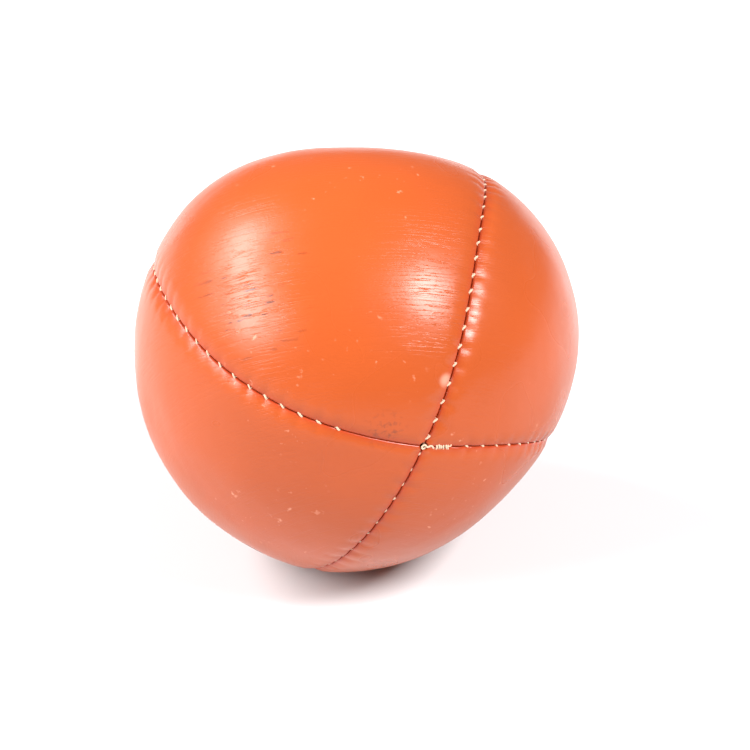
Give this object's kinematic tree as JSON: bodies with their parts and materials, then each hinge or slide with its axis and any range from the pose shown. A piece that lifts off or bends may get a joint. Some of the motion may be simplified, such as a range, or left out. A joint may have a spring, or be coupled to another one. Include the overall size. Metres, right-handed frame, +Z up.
{
  "type": "juggling ball",
  "caption": "Stitched leather juggling beanbag with crossing seams and a loose millet filling, resting on a flat spot.",
  "frame": {"origin": "on the table, straight below the middle of the ball, in the flat spot it rests on", "axes": "+Z up, -Y towards the front pole where the two seams cross, +X to the right of that pole"},
  "size_m": [0.063, 0.063, 0.0626],
  "materials": {
    "cover_leather": "satin, soft grain",
    "sewing_thread": "waxed twist",
    "millet": "dry seed husk"
  },
  "bodies": {
    "root": {"panel_top": "cover_leather", "panel_right": "cover_leather", "panel_left": "cover_leather", "panel_base": "cover_leather", "upper_seam_needle_thread": "sewing_thread", "upper_seam_bobbin_thread": "sewing_thread", "lower_seam_needle_thread": "sewing_thread", "lower_seam_bobbin_thread": "sewing_thread", "ring_seam_needle_thread": "sewing_thread", "ring_seam_bobbin_thread": "sewing_thread", "closing_thread": "sewing_thread", "millet_filling": "millet"}
  },
  "joints": []
}
